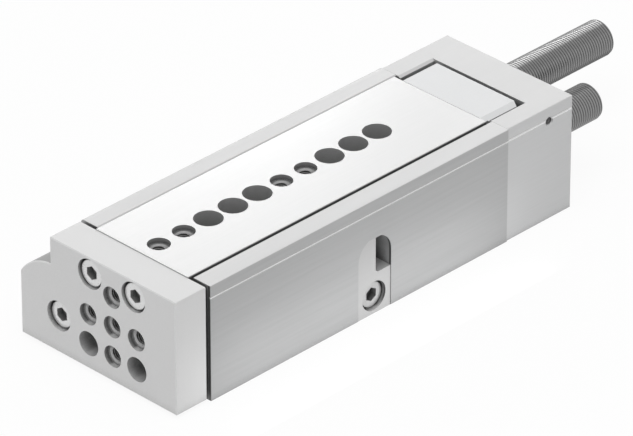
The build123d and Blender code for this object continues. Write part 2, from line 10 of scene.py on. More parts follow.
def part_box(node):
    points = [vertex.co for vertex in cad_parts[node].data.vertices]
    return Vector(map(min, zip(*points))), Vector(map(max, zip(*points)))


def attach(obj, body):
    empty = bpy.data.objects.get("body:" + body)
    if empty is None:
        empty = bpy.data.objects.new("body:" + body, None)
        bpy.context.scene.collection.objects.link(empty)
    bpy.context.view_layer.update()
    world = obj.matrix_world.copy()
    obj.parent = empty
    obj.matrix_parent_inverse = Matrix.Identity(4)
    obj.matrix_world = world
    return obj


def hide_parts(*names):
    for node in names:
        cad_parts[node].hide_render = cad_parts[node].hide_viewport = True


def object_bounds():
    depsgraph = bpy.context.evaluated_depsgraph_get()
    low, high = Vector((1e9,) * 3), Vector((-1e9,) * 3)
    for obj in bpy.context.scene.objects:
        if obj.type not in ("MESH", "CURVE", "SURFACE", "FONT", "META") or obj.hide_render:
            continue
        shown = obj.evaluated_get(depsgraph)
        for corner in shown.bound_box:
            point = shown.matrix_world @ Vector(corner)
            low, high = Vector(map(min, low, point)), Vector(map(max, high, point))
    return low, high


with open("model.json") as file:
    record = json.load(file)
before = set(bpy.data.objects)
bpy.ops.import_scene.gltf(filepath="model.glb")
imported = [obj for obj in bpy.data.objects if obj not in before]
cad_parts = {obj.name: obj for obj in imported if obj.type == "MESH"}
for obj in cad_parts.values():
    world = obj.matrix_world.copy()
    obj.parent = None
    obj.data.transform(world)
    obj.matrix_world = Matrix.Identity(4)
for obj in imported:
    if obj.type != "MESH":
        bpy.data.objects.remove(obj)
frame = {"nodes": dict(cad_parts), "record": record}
cad_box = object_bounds()
nodes = frame["nodes"]
mounts = {mount["name"]: mount for mount in frame["record"]["mounts"]}
MM = 0.001

# Nodes that others are fitted to, each with its lowest and highest corner
Box = namedtuple("Box", "low high")
housing = Box(*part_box("housing_profile"))
rear_block = Box(*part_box("rear_block"))
slide = Box(*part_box("slide_table"))
stop_plate = Box(*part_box("stop_plate"))
yoke = Box(*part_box("yoke_plate"))

# Directions
FORWARD = (1, 0, 0)
BACKWARD = (-1, 0, 0)
NEAR = (0, 1, 0)
UP = (0, 0, 1)

# Meshes: every ring has the same number of points
SEGMENTS = 72
HEXAGON = 6
SMOOTH_ANGLE = math.radians(32)
STEP = 0.01 * MM
# Name of the mesh attribute that carries painted shade into thread roots and socket floors
ROOT_SHADE_LAYER = "root_shade"

# Thread forms: the share of a turn where each point lies, and the share of the depth that it is sunk
THREAD_FORM = ((0.0, 0.0), (0.125, 0.0), (0.4375, 1.0), (0.6875, 1.0))
WORN_FORM = ((0.0, 0.0), (0.32, 0.0), (0.58, 1.0), (0.74, 1.0))

# Thread depths, as shares of the pitch
THREAD_DEPTH = 0.6
WORN_DEPTH = 0.18

# Socket head screws: thread, socket across flats, bevel of the head's edge, and head
Screw = namedtuple("Screw", "radius pitch socket edge head_radius head_height")
M5 = Screw(2.5 * MM, 0.8 * MM, 4.0 * MM, 0.35 * MM, head_radius=4.25 * MM, head_height=5.0 * MM)
M4 = Screw(2.0 * MM, 0.7 * MM, 3.0 * MM, 0.3 * MM, head_radius=3.5 * MM, head_height=4.0 * MM)
SOCKET_DEPTH = 2.5 * MM
SOCKET_CONE = 0.5 * MM
SOCKET_EDGE = 0.15 * MM

# Knurled heads: depth, and where the knurl starts below the top, as a multiple of the bevel
KNURL_DEPTH = 0.1 * MM
KNURL_START = 1.4

# The rear block's screws: how far three of them stand from the corners of their box
MIDDLE_SCREW_RISE = 9.0 * MM
LOWER_SCREW_INSET = 0.4 * MM
UPPER_SCREW_INSET = 4.5 * MM

# Stop sleeves and the lock nut, whose bores are given by their radius
SLEEVE_PITCH = 1.0 * MM
SLEEVE_CHAMFER = 0.4 * MM
SLEEVE_SOCKET_FLATS = 6.8 * MM
SLEEVE_SOCKET_DEPTH = 5.0 * MM
BUFFER_BORE = 4.0 * MM
BUFFER_DEPTH = 11.2 * MM
NUT_BORE = 6.05 * MM
NUT_FACE_INSET = 0.2 * MM
NUT_CHAMFER = math.radians(30)

# Tapped holes under their centring seats, in the record's groups of holes
SEAT_DEPTH = 2.15 * MM
HOLE_PITCH = 10.0 * MM
CORE_RADIUS = 2.1 * MM
RIDGE_HEIGHT = 0.12 * MM
RIDGE_CLEARANCE = 0.1 * MM


# Mesh building: rings of points round the Z axis of a place
def axis_place(origin, direction):
    """A place at an origin whose Z axis points along a direction."""
    turn = Vector(direction).to_track_quat("Z", "Y").to_matrix().to_4x4()
    return Matrix.Translation(origin) @ turn


def circle(radius):
    return lambda angle, index: radius


def hexagon(across_flats):
    """The reach of a hexagon's outline at an angle."""
    sector = 2 * math.pi / HEXAGON
    return lambda angle, index: across_flats / 2 / math.cos((angle + sector / 2) % sector - sector / 2)


def knurled(radius):
    return lambda angle, index: radius - KNURL_DEPTH * (index % 2)


def ring_point(bm, place, reach, height, index, root_shade):
    """One point of a ring, with its share of painted shade for thread roots and socket floors."""
    angle = 2 * math.pi * index / SEGMENTS
    point = bm.verts.new(place @ Vector((reach * math.cos(angle), reach * math.sin(angle), height)))
    point[bm.verts.layers.float[ROOT_SHADE_LAYER]] = root_shade
    return point


def ring(bm, place, height, outline, root_shade=0.0):
    """A ring of points on an outline. Its height is a number, or a function of a point's reach."""
    points = []
    for index in range(SEGMENTS):
        reach = outline(2 * math.pi * index / SEGMENTS, index)
        level = height(reach) if callable(height) else height
        points.append(ring_point(bm, place, reach, level, index, root_shade))
    return points


def bridge(bm, low, high):
    for index in range(SEGMENTS):
        after = (index + 1) % SEGMENTS
        bm.faces.new((low[index], low[after], high[after], high[index]))


def chain(bm, rings):
    for low, high in zip(rings, rings[1:]):
        bridge(bm, low, high)


def cone_tip(bm, place, height, rim):
    """Closes a ring with a cone whose tip has the full painted shade of a socket floor."""
    tip = bm.verts.new(place @ Vector((0, 0, height)))
    tip[bm.verts.layers.float[ROOT_SHADE_LAYER]] = 1.0
    for index in range(SEGMENTS):
        bm.faces.new((rim[index], rim[(index + 1) % SEGMENTS], tip))


def hex_socket(bm, place, mouth, depth, across_flats):
    """A hexagon socket's rings, from its mouth inwards. A negative depth goes down the Z axis."""
    inwards = math.copysign(1, depth)
    floor = ring(bm, place, mouth + depth, hexagon(across_flats), root_shade=1.0)
    cone_tip(bm, place, mouth + depth + inwards * SOCKET_CONE, floor)
    corner = across_flats / 2 / math.cos(math.pi / HEXAGON) + SOCKET_EDGE
    return [ring(bm, place, mouth, circle(corner)),
            ring(bm, place, mouth + inwards * SOCKET_EDGE, hexagon(across_flats)),
            floor]


def join_helix(bm, rows, turn_rows):
    """Joins the rows of a helix. After its last segment a row goes on as the row one turn up."""
    for number in range(len(rows) - turn_rows - 1):
        for index in range(SEGMENTS):
            after = (index + 1) % SEGMENTS
            shift = number if after else number + turn_rows
            corners = (rows[number][index], rows[number + 1][index],
                       rows[shift + 1][after], rows[shift][after])
            distinct = tuple(dict.fromkeys(corners))
            if len(distinct) > 2:
                bm.faces.new(distinct)


def thread(bm, place, start, end, radius, depth, pitch, end_radius, form=THREAD_FORM):
    """A helical thread along Z. A negative depth cuts outwards. Returns its two end rings."""
    first = ring(bm, place, start, circle(end_radius))
    last = ring(bm, place, end, circle(end_radius))
    side = math.copysign(1, depth)

    def thread_point(height, sunk, index):
        if height <= start + STEP:
            return first[index]
        if height >= end - STEP:
            return last[index]
        runout = side * end_radius + min(height - start, end - height)
        reach = side * min(side * (radius - sunk * depth), runout)
        return ring_point(bm, place, reach, height, index, sunk)

    rows = []
    for turn in range(-1, math.ceil((end - start) / pitch) + 2):
        for along, sunk in form:
            rows.append([thread_point(start + (turn + along + index / SEGMENTS) * pitch, sunk, index)
                         for index in range(SEGMENTS)])
    join_helix(bm, rows, len(form))
    return first, last


def new_piece(name, fill, material, body):
    """A piece whose mesh a function fills, with its material and body."""
    mesh = bpy.data.meshes.new(name)
    bm = bmesh.new()
    bm.verts.layers.float.new(ROOT_SHADE_LAYER)
    fill(bm)
    bmesh.ops.recalc_face_normals(bm, faces=bm.faces)
    bm.to_mesh(mesh)
    bm.free()
    for polygon in mesh.polygons:
        polygon.use_smooth = True
    mesh.set_sharp_from_angle(angle=SMOOTH_ANGLE)
    piece = bpy.data.objects.new(name, mesh)
    bpy.context.scene.collection.objects.link(piece)
    mesh.materials.append(material)
    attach(piece, body)
    return piece


# Fasteners
def cap_screw(bm, place, length, screw):
    """A socket head screw that points down its place's Z axis, its head's underside at zero."""
    top = screw.head_height
    rounding = screw.edge / 3
    under = ring(bm, place, 0, circle(screw.radius))
    chain(bm, hex_socket(bm, place, top, -SOCKET_DEPTH, screw.socket)[::-1] + [
        ring(bm, place, top, circle(screw.head_radius - screw.edge)),
        ring(bm, place, top - rounding, circle(screw.head_radius - rounding)),
        ring(bm, place, top - screw.edge, circle(screw.head_radius - KNURL_DEPTH)),
        ring(bm, place, top - KNURL_START * screw.edge, knurled(screw.head_radius)),
        ring(bm, place, screw.edge, knurled(screw.head_radius)),
        ring(bm, place, 0, circle(screw.head_radius - screw.edge)),
        under])
    depth = THREAD_DEPTH * screw.pitch
    low, high = thread(bm, place, -length, -screw.pitch, screw.radius, depth, screw.pitch,
                       screw.radius - depth)
    bridge(bm, under, high)
    bm.faces.new(low)


def head_corners(node, screw):
    """The lowest and highest head centres of a node of screws, across their axis."""
    low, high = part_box(node)
    inset = Vector((screw.head_radius,) * 3)
    return low + inset, high - inset


def screws(node, direction, spots, screw, body, material):
    """Replaces a node with one detailed cap screw at each spot, along its direction."""
    low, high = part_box(node)
    axis = max(range(3), key=lambda number: abs(direction[number]))
    length = high[axis] - low[axis] - screw.head_height
    head = high[axis] if direction[axis] > 0 else low[axis]

    def fill(bm):
        for spot in spots:
            origin = Vector(spot)
            origin[axis] = head - direction[axis] * screw.head_height
            cap_screw(bm, axis_place(origin, direction), length, screw)

    piece = new_piece(node + "_detailed", fill, material, body)
    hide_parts(node)


def stop_sleeve(node, body, material):
    """A sleeve threaded over its whole length, with a hexagon socket and a bore for its buffer."""
    low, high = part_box(node)
    middle = (low + high) / 2
    radius = (high.y - low.y) / 2
    length = high.x - low.x
    place = axis_place(Vector((low.x, middle.y, middle.z)), FORWARD)

    def fill(bm):
        rear, nose = thread(bm, place, 0, length, radius, WORN_DEPTH * SLEEVE_PITCH, SLEEVE_PITCH,
                            radius - SLEEVE_CHAMFER, WORN_FORM)
        chain(bm, [rear] + hex_socket(bm, place, 0, SLEEVE_SOCKET_DEPTH, SLEEVE_SOCKET_FLATS))
        seat = ring(bm, place, length - BUFFER_DEPTH, circle(BUFFER_BORE))
        chain(bm, [nose, ring(bm, place, length, circle(BUFFER_BORE)), seat])
        bm.faces.new(seat)

    piece = new_piece(node + "_threaded", fill, material, body)
    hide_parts(node)


def lock_nut(node, body, material):
    """A thin hexagon nut with its corners turned off on both faces."""
    low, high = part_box(node)
    middle = (low + high) / 2
    place = axis_place(Vector((low.x, middle.y, middle.z)), FORWARD)
    thickness = high.x - low.x
    across = high.z - low.z
    face_radius = across / 2 - NUT_FACE_INSET
    reach = hexagon(across)

    def cut_corner(angle, index):
        return min(reach(angle, index), (high.y - low.y) / 2)

    def turned(radius):
        return (radius - face_radius) * math.tan(NUT_CHAMFER)

    def fill(bm):
        rings = [ring(bm, place, 0, circle(face_radius)),
                 ring(bm, place, turned, cut_corner),
                 ring(bm, place, lambda radius: thickness - turned(radius), cut_corner),
                 ring(bm, place, thickness, circle(face_radius)),
                 ring(bm, place, thickness, circle(NUT_BORE + SOCKET_EDGE)),
                 ring(bm, place, thickness - SOCKET_EDGE, circle(NUT_BORE)),
                 ring(bm, place, SOCKET_EDGE, circle(NUT_BORE)),
                 ring(bm, place, 0, circle(NUT_BORE + SOCKET_EDGE))]
        chain(bm, rings + rings[:1])

    piece = new_piece(node + "_turned", fill, material, body)
    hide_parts(node)


def thread_ridges(name, spots, direction, thickness, material):
    """Thread ridges in a plate's tapped holes, each a thin sleeve set into the wall of its hole."""
    length = thickness - SEAT_DEPTH - RIDGE_CLEARANCE
    wall = CORE_RADIUS + RIDGE_HEIGHT
    crest = CORE_RADIUS - RIDGE_HEIGHT

    def fill(bm):
        for spot in spots:
            place = axis_place(Vector(spot), direction)
            low, high = thread(bm, place, -length, 0, crest, crest - CORE_RADIUS, M5.pitch, CORE_RADIUS)
            chain(bm, [low, ring(bm, place, -length, circle(wall)), ring(bm, place, 0, circle(wall)), high])

    new_piece(name, fill, material, "slide")


# Material nodes
NOISE_LOW = 0.3
NOISE_HIGH = 0.7


def node_tree(name):
    material = bpy.data.materials.new(name)
    material.use_nodes = True
    tree = material.node_tree
    return material, tree, tree.nodes["Principled BSDF"]


def grey(value, tint=0.0):
    """A linear grey, cool with a positive tint and warm with a negative one."""
    return (value * (1 - tint), value, value * (1 + tint), 1.0)


def feed(tree, value, socket):
    """Gives a socket a plain value or the output of a node."""
    if isinstance(value, tuple):
        socket.default_value = value
    else:
        tree.links.new(value, socket)


def part_coordinates(tree, output="Object"):
    return tree.nodes.new("ShaderNodeTexCoord").outputs[output]


def along(tree, axis, output="Object"):
    """A point's place along an axis in the part's metres, or how far its surface faces that way."""
    split = tree.nodes.new("ShaderNodeSeparateXYZ")
    tree.links.new(part_coordinates(tree, output), split.inputs[0])
    return split.outputs[axis]


def stretched(tree, scale):
    """Object coordinates stretched by scale, so that grain can run along an axis."""
    mapping = tree.nodes.new("ShaderNodeMapping")
    mapping.inputs["Scale"].default_value = scale
    tree.links.new(part_coordinates(tree), mapping.inputs["Vector"])
    return mapping.outputs["Vector"]


def noise(tree, vector, scale, detail=3.0):
    texture = tree.nodes.new("ShaderNodeTexNoise")
    texture.inputs["Scale"].default_value = scale
    texture.inputs["Detail"].default_value = detail
    tree.links.new(vector, texture.inputs["Vector"])
    return texture.outputs["Fac"]


def remap(tree, value, from_low, from_high, to_low, to_high):
    """Maps a value from one range to another and keeps it inside."""
    mapped = tree.nodes.new("ShaderNodeMapRange")
    mapped.inputs["From Min"].default_value = from_low
    mapped.inputs["From Max"].default_value = from_high
    mapped.inputs["To Min"].default_value = to_low
    mapped.inputs["To Max"].default_value = to_high
    tree.links.new(value, mapped.inputs["Value"])
    return mapped.outputs["Result"]


def rise(tree, value, start, full, share=1.0):
    """Zero where a value starts, and a share where it is full. Full may be the lower one."""
    return remap(tree, value, start, full, 0.0, share)


def spread(tree, value, low, high):
    """Maps a noise, most of which lies near its middle, to a range."""
    return remap(tree, value, NOISE_LOW, NOISE_HIGH, low, high)


def calculate(tree, operation, first, second):
    result = tree.nodes.new("ShaderNodeMath")
    result.operation = operation
    tree.links.new(first, result.inputs[0])
    tree.links.new(second, result.inputs[1])
    return result.outputs[0]


def product(tree, *factors):
    result = factors[0]
    for factor in factors[1:]:
        result = calculate(tree, "MULTIPLY", result, factor)
    return result


def dot_product(tree, first, second):
    """How far two directions agree. The second may be a plain one."""
    result = tree.nodes.new("ShaderNodeVectorMath")
    result.operation = "DOT_PRODUCT"
    tree.links.new(first, result.inputs[0])
    feed(tree, second, result.inputs[1])
    return result.outputs["Value"]


def within(tree, value, low, high):
    """One where a value lies between two others, zero elsewhere."""
    return product(tree, rise(tree, value, low, low + STEP), rise(tree, value, high, high - STEP))


def blend(tree, factor, first, second):
    """Mixes two colours, each a plain one or the output of a node."""
    mix = tree.nodes.new("ShaderNodeMix")
    mix.data_type = "RGBA"
    feed(tree, first, mix.inputs["A"])
    feed(tree, second, mix.inputs["B"])
    tree.links.new(factor, mix.inputs["Factor"])
    return mix.outputs["Result"]


# Effects that a surface may have
EDGE_WIDTH = 0.12 * MM
EDGE_SAMPLES = 4
EDGE_START = 0.99
EDGE_FULL = 0.9
EDGE_SHARE = 0.6
SHADE_SAMPLES = 6
SHADE_SHARE = 0.88
SHADE_TONE = 0.04
GRAIN_RELIEF = 0.02 * MM
CLOUD_SCALE = 40
CLOUD_DETAIL = 2.0
CLOUD_SHARE = 0.25
EVEN = (1.0, 1.0, 1.0)
ALONG_X = (0.03, 1.0, 1.0)

# Shade in gaps: its reach, how open a spot is where shade starts and where it is full, and
# whether only the piece itself shades the spot
Shade = namedtuple("Shade", "reach clear shut alone", defaults=(False,))


def edge_highlight(tree):
    """High on convex edges and zero on faces, from a rounded normal: where painted edge highlights go."""
    rounded = tree.nodes.new("ShaderNodeBevel")
    rounded.samples = EDGE_SAMPLES
    rounded.inputs["Radius"].default_value = EDGE_WIDTH
    geometry = tree.nodes.new("ShaderNodeNewGeometry")
    agreement = dot_product(tree, rounded.outputs["Normal"], geometry.outputs["Normal"])
    return rise(tree, agreement, EDGE_START, EDGE_FULL, EDGE_SHARE)


def enclosed(tree, shade):
    """High deep inside holes, slots and gaps, zero in the open."""
    occlusion = tree.nodes.new("ShaderNodeAmbientOcclusion")
    occlusion.samples = SHADE_SAMPLES
    occlusion.only_local = shade.alone
    occlusion.inputs["Distance"].default_value = shade.reach
    return rise(tree, occlusion.outputs["AO"], shade.clear, shade.shut, SHADE_SHARE)


def bump(tree, shader, height, strength):
    node = tree.nodes.new("ShaderNodeBump")
    node.inputs["Strength"].default_value = strength
    node.inputs["Distance"].default_value = GRAIN_RELIEF
    tree.links.new(height, node.inputs["Height"])
    tree.links.new(node.outputs["Normal"], shader.inputs["Normal"])


def surface(name, tone, rough, relief, scale=1500, grain=EVEN, metallic=1.0, tint=0.0, edge=None,
            skin=None, shades=(), layer=None):
    """A material with streaks or grain between two tones, and a fine bump. It may have a skin and recesses
    of painted shade, a layer over both and painted edge highlights. Rough is a range or a function."""
    material, tree, shader = node_tree(name)
    dark, light = (grey(value, tint) for value in tone)
    streaks = noise(tree, stretched(tree, grain), scale)
    clouds = noise(tree, part_coordinates(tree), CLOUD_SCALE, CLOUD_DETAIL)
    colour = blend(tree, spread(tree, streaks, 0.0, 1.0), dark, light)
    colour = blend(tree, spread(tree, clouds, 0.0, CLOUD_SHARE), colour, light)
    if skin:
        colour = skin(tree, colour)
    # Painted shade in holes, slots and gaps
    for shade in shades:
        colour = blend(tree, enclosed(tree, shade), colour, grey(SHADE_TONE))
    if layer:
        colour = layer(tree, colour)
    # Painted highlights along convex edges
    if edge:
        colour = blend(tree, edge_highlight(tree), colour, grey(edge, tint))
    roughness = rough(tree) if callable(rough) else spread(tree, streaks, *rough)
    tree.links.new(colour, shader.inputs["Base Color"])
    tree.links.new(roughness, shader.inputs["Roughness"])
    shader.inputs["Metallic"].default_value = metallic
    bump(tree, shader, streaks, relief)
    return material


# Layers: each puts a tone over part of a surface, by its place or by the way that it faces

# How far a surface faces up or forward where a tone starts, and where it is full
FLAT_UP = (0.9, 0.98)
EDGE_UP = (0.5, 0.7)
GROUND_UP = (0.6, 0.9)
SHOULDER_UP = (0.2, 0.9)
WALL_FORWARD = (0.5, 0.9)

# Cuts in the near side, each by its height
Cut = namedtuple("Cut", "bottom top tone")
CUT_DEPTH = 0.9 * MM
# Tone of the painted shade on the cuts' rear walls
CUT_WALL_SHADE = 0.1

# Upper faces: how far below and above them a layer for them reaches
TOP_EDGE = 0.6 * MM
GROUND_DEPTH = 0.05 * MM
TOP_MARGIN = 1.0 * MM


def stacked(*layers):
    """A layer made of several, each over the one before."""
    def layer(tree, below):
        for one in layers:
            below = one(tree, below)
        return below
    return layer


def near_side_cuts(face, cuts):
    """Cuts just below the near side's skin have a tone by their height, and painted shade on rear walls."""
    def layer(tree, below):
        under_skin = within(tree, along(tree, "Y"), face - CUT_DEPTH, face - STEP)
        for cut in cuts:
            inside = product(tree, under_skin, within(tree, along(tree, "Z"), cut.bottom, cut.top))
            below = blend(tree, inside, below, grey(cut.tone))
        shaded_rear_wall = product(tree, under_skin, rise(tree, along(tree, "X", "Normal"), *WALL_FORWARD))
        return blend(tree, shaded_rear_wall, below, grey(CUT_WALL_SHADE))
    return layer


def lit_top(tone):
    """Painted light: upper faces and the top's edges are lighter than the sides, as if lit from above."""
    def layer(tree, below):
        up = along(tree, "Z", "Normal")
        below = blend(tree, rise(tree, up, *FLAT_UP), below, grey(tone))
        near_top = within(tree, along(tree, "Z"), housing.high.z - TOP_EDGE, housing.high.z + TOP_MARGIN)
        return blend(tree, product(tree, rise(tree, up, *EDGE_UP), near_top), below, grey(tone))
    return layer


def shaded_roots(tone):
    """Painted shade: a dark tone in the roots of threads and on the floors of sockets, where shade falls.
    """
    def layer(tree, below):
        root_shade = tree.nodes.new("ShaderNodeAttribute")
        root_shade.attribute_name = ROOT_SHADE_LAYER
        return blend(tree, root_shade.outputs["Fac"], below, grey(tone))
    return layer


def facing_band(direction, start, full, share, tone):
    """A tone along the side of a round piece that faces a direction, for painted highlights, reflections
    and shade.
    """
    def layer(tree, below):
        agreement = dot_product(tree, part_coordinates(tree, "Normal"), direction)
        return blend(tree, rise(tree, agreement, start, full, share), below, grey(tone))
    return layer


def region(corner, other, tone, upward=None):
    """A tone in a box of the part. Upward keeps it to faces that point up, as a start and a full."""
    def layer(tree, below):
        factors = [within(tree, along(tree, axis), low, high)
                   for axis, low, high in zip("XYZ", corner, other)]
        if upward:
            factors.append(rise(tree, along(tree, "Z", "Normal"), *upward))
        return blend(tree, product(tree, *factors), below, grey(tone))
    return layer


def ground_face(tree):
    """One on the slide's ground upper face, zero elsewhere."""
    on_top = within(tree, along(tree, "Z"), slide.high.z - GROUND_DEPTH, slide.high.z + TOP_MARGIN)
    return product(tree, rise(tree, along(tree, "Z", "Normal"), *GROUND_UP), on_top)


def shaded_sides(tone):
    """Painted shade: the slide's faces but its ground upper one are darker, for its shaded gaps and holes.
    """
    return lambda tree, below: blend(tree, ground_face(tree), grey(tone), below)


def smooth_top(rough, ground):
    """Roughness of the slide: its ground upper face is smoother than the others."""
    return lambda tree: remap(tree, ground_face(tree), 0.0, 1.0, rough, ground)


# The shaded gap beside the stop plate, in the recess and then over the channel
BEVEL_SHADE_WIDTH = 0.62 * MM
BEVEL_SHADE_DROP = 0.1 * MM
END_SHADE_START = 18.3 * MM
END_SHADE_DROP = 0.02 * MM
END_SHADE_OVERLAP = 1.0 * MM
seam = rear_block.high.x
shaded_bevel = region((stop_plate.low.x, stop_plate.high.y - BEVEL_SHADE_WIDTH, 0),
                      (seam, housing.high.y, slide.high.z - BEVEL_SHADE_DROP), tone=0.11)
shaded_end = region((seam, END_SHADE_START, 0),
                    (slide.low.x + END_SHADE_OVERLAP, housing.high.y, slide.high.z - END_SHADE_DROP),
                    tone=0.05)

# The wall of the small hole in the rear block's near side
SIDE_HOLE_REACH = 2.0 * MM
SIDE_HOLE_DEPTH = 8.0 * MM
hole = Vector(mounts["side_hole"]["pos_m"])
side_hole_wall = region(
    (hole.x - SIDE_HOLE_REACH, hole.y - SIDE_HOLE_DEPTH, hole.z - SIDE_HOLE_REACH),
    (hole.x + SIDE_HOLE_REACH, rear_block.high.y - CUT_DEPTH, hole.z + SIDE_HOLE_REACH), tone=0.45)

# Painted shade on the shoulder where the lobe's round meets the yoke's side
SHOULDER_INSET = 0.45 * MM
SHOULDER_SIDE = -26.0 * MM
SHOULDER_TOP = 30.0 * MM
shoulder_shade = region((yoke.low.x, yoke.low.y, 0), (yoke.high.x - SHOULDER_INSET, SHOULDER_SIDE, SHOULDER_TOP),
                  tone=0.30, upward=SHOULDER_UP)

# The line along the near side, coloured near white as a painted highlight, and the side pocket below it
GROOVE_DROP = 4.15 * MM
GROOVE_HEIGHT = 0.8 * MM
POCKET_DROP = 8.0 * MM
groove_top = cad_box[1].z - GROOVE_DROP
highlit_groove = Cut(groove_top - GROOVE_HEIGHT, groove_top, tone=0.95)
pocket = Cut(0.0, groove_top - POCKET_DROP, tone=0.47)

# Bands on the long sleeve: a painted highlight on top, painted dark reflections beside it,
# and painted shade underneath; on the short one, painted shade along its top
HIGHLIGHT_SIDE = (0.0, -0.087, 0.996)
DARK_REFLECTION_NEAR = (0.0, 0.520, 0.855)
DARK_REFLECTION_FAR = (0.0, -0.652, 0.759)
SHADED_UNDERSIDE = (0.0, 0.0, -1.0)
SHADED_SIDE = (0.0, -0.270, 0.963)
# Tone of the painted shade in the sleeves' thread roots
ROOT_SHADE_TONE = 0.11
sleeve_highlight = stacked(shaded_roots(ROOT_SHADE_TONE),
                 facing_band(DARK_REFLECTION_NEAR, 0.94, 0.99, share=0.3, tone=0.05),
                 facing_band(HIGHLIGHT_SIDE, 0.91, 0.98, share=0.95, tone=0.58),
                 facing_band(DARK_REFLECTION_FAR, 0.93, 0.99, share=0.8, tone=0.03),
                 facing_band(SHADED_UNDERSIDE, 0.2, 0.5, share=0.85, tone=0.05))
shaded = stacked(shaded_roots(ROOT_SHADE_TONE), facing_band(SHADED_SIDE, 0.82, 0.93, share=0.85, tone=0.03))

# The steel that both sleeves and the lock nut are made of
SLEEVE_TONES = (0.25, 0.30)
SLEEVE_ROUGHNESS = (0.34, 0.42)
SLEEVE_RELIEF = 0.15
SLEEVE_METALLIC = 0.9


def sleeve_steel(name, layer):
    return surface(name, SLEEVE_TONES, SLEEVE_ROUGHNESS, SLEEVE_RELIEF, metallic=SLEEVE_METALLIC,
                   layer=layer)


# Materials by slot: tones, roughness and relief, then the scale and the stretch of the grain
SURFACES = {
    "housing": surface("streaked_anodised", (0.38, 0.42), (0.38, 0.48), 0.25, 900, ALONG_X,
                       metallic=0.35, tint=0.005, edge=0.62, shades=(Shade(7 * MM, 0.53, 0.25),),
                       layer=stacked(near_side_cuts(housing.high.y, (highlit_groove, pocket)), lit_top(0.57))),
    "housing_block": surface("milled_anodised", (0.53, 0.56), (0.40, 0.48), 0.15, 1400, ALONG_X,
                             metallic=0.35, tint=0.005, edge=0.7, shades=(Shade(5 * MM, 0.53, 0.25),),
                             layer=stacked(near_side_cuts(rear_block.high.y, (highlit_groove,)),
                                           lit_top(0.56), side_hole_wall)),
    "yoke": surface("blasted_anodised", (0.62, 0.65), (0.42, 0.5), 0.2, 2400, metallic=0.35, edge=0.85,
                    shades=(Shade(8 * MM, 0.58, 0.25), Shade(6 * MM, 0.75, 0.3, alone=True)),
                    layer=stacked(lit_top(0.61), shoulder_shade)),
    "plate": surface("matt_anodised", (0.59, 0.62), (0.4, 0.5), 0.2, 2400, metallic=0.35, tint=0.008,
                     edge=0.8, layer=stacked(shaded_bevel, shaded_end)),
    "slide": surface("ground_steel", (0.69, 0.71), smooth_top(0.5, 0.19), 0.08, 1600, ALONG_X,
                     metallic=0.6, edge=0.8, skin=shaded_sides(0.50), shades=(Shade(5 * MM, 0.85, 0.4),)),
    "guide_steel": surface("hardened_steel", (0.35, 0.42), (0.25, 0.35), 0.1, 1200, ALONG_X),
    "stop_steel": surface("blackened_steel", (0.10, 0.14), (0.35, 0.45), 0.2),
    "screws": surface("zinc_plated", (0.65, 0.71), (0.26, 0.38), 0.15, 1800, metallic=0.8,
                      layer=shaded_roots(0.20)),
    "sleeves": sleeve_steel("steel_shaded_roots", shaded_roots(ROOT_SHADE_TONE)),
    "balls": surface("polished_balls", (0.75, 0.78), (0.06, 0.1), 0.02, 800),
    "cage": surface("stamped_brass", (0.40, 0.46), (0.3, 0.4), 0.1, 1200, tint=-0.4),
    "rod": surface("hard_chrome", (0.46, 0.50), (0.16, 0.22), 0.04, 1000),
    "piston": surface("turned_aluminium", (0.6, 0.66), (0.25, 0.35), 0.1, 1000),
    "caps": surface("turned_caps", (0.55, 0.6), (0.25, 0.35), 0.1, 1000),
    "bush": surface("sintered_bronze", (0.30, 0.35), (0.4, 0.5), 0.2, tint=-0.45),
    "spring_steel": surface("phosphated_steel", (0.06, 0.09), (0.45, 0.6), 0.2),
    "seals": surface("black_nitrile", (0.02, 0.03), (0.5, 0.6), 0.2, metallic=0.0),
    "buffers": surface("black_polyurethane", (0.02, 0.035), (0.4, 0.5), 0.2, metallic=0.0),
    "magnet": surface("bonded_ferrite", (0.03, 0.05), (0.6, 0.7), 0.2, metallic=0.0),
    "guide_band": surface("filled_ptfe", (0.05, 0.08), (0.6, 0.7), 0.2, metallic=0.0),
}
TAPPED_WALL = surface("tapped_wall", (0.80, 0.85), (0.25, 0.35), 0.1, metallic=0.6, layer=shaded_roots(0.02))
HIGHLIGHTED_SLEEVE = sleeve_steel("highlighted_steel", sleeve_highlight)
SHADED_SLEEVE = sleeve_steel("shaded_steel", shaded)
# A darker copy of the screws' zinc for the screw down in the side pocket: painted shade
POCKET_SCREW = surface("shaded_zinc", (0.50, 0.56), (0.30, 0.40), 0.15, 1800, metallic=0.8,
                       layer=shaded_roots(0.12))
for entry in frame["record"]["subparts"]:
    mesh = nodes[entry["node"]].data
    mesh.materials.clear()
    mesh.materials.append(SURFACES[entry["material_slot"]])


# Detailed pieces in place of plain ones
def screw_pair(node, direction, screw, body):
    """Two screws side by side."""
    low, high = head_corners(node, screw)
    screws(node, direction, ((0, low.y, low.z), (0, high.y, low.z)), screw, body, SURFACES["screws"])


def rear_block_screw_spots():
    """One screw low on each side, one above the near one, and one high on the far side."""
    low, high = head_corners("rear_block_screws", M4)
    return ((0, high.y, low.z + MIDDLE_SCREW_RISE), (0, high.y - LOWER_SCREW_INSET, low.z),
            (0, low.y, low.z), (0, low.y + UPPER_SCREW_INSET, high.z))


